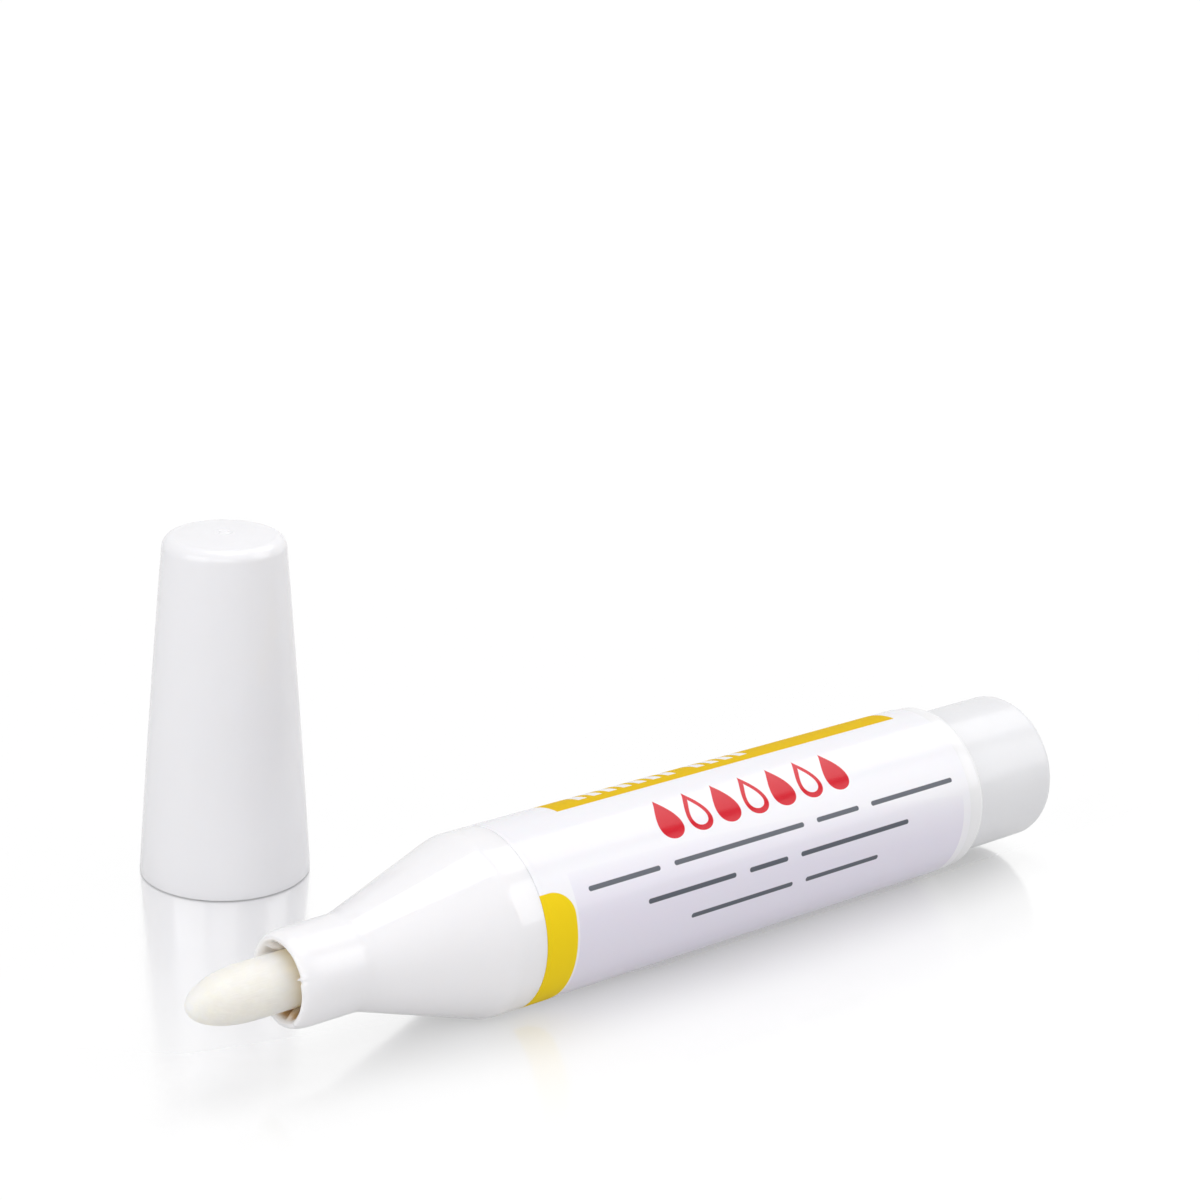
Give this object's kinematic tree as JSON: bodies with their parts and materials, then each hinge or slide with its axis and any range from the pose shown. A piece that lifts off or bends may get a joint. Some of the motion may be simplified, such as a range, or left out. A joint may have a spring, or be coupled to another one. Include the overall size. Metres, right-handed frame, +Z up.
{
  "type": "nail oil pen",
  "caption": "Plain white nail oil pen lying uncapped, with a cream felt nib, a spring valve, a label film and a closed tail, beside its tapered cap standing on its mouth.",
  "frame": {"origin": "on the table, at the centre of the box round the lying pen and its standing cap", "axes": "+Z up from the table; +X along the pen from its nib to its tail; +Y from the pen to the standing cap"},
  "size_m": [0.0872, 0.0494, 0.0311],
  "materials": {
    "white_plastic": "gloss",
    "label_film": "gloss, white with yellow printed areas",
    "felt": "dense felt",
    "natural_plastic": "matte",
    "seal_rubber": "matte",
    "spring_steel": "bright"
  },
  "bodies": {
    "pen": {"barrel": "white_plastic", "label": "label_film", "nose": "white_plastic", "valve_cage": "natural_plastic", "valve_spring": "spring_steel", "nose_seal": "seal_rubber", "rear_plug": "white_plastic", "plug_seal": "seal_rubber"},
    "plunger": {"valve_stem": "natural_plastic", "valve_seal": "seal_rubber"},
    "nib": {"nib": "felt"},
    "cap": {"cap_shell": "white_plastic", "cap_liner": "natural_plastic"}
  },
  "joints": [
    {"name": "nib_press", "type": "slide", "parent": "pen", "child": "plunger", "axis": [1, 0, 0], "range_m": [0, 0.0015], "stiffness_N_per_m": 400, "springref_m": -0.004, "deforming": ["valve_spring"]},
    {"name": "nib_pull", "type": "slide", "parent": "plunger", "child": "nib", "axis": [-1, 0, 0], "range_m": [0, 0.02]},
    {"name": "cap_lift", "type": "slide", "parent": "pen", "child": "cap", "axis": [0, 0, 1], "range_m": [0, 0.05]}
  ]
}
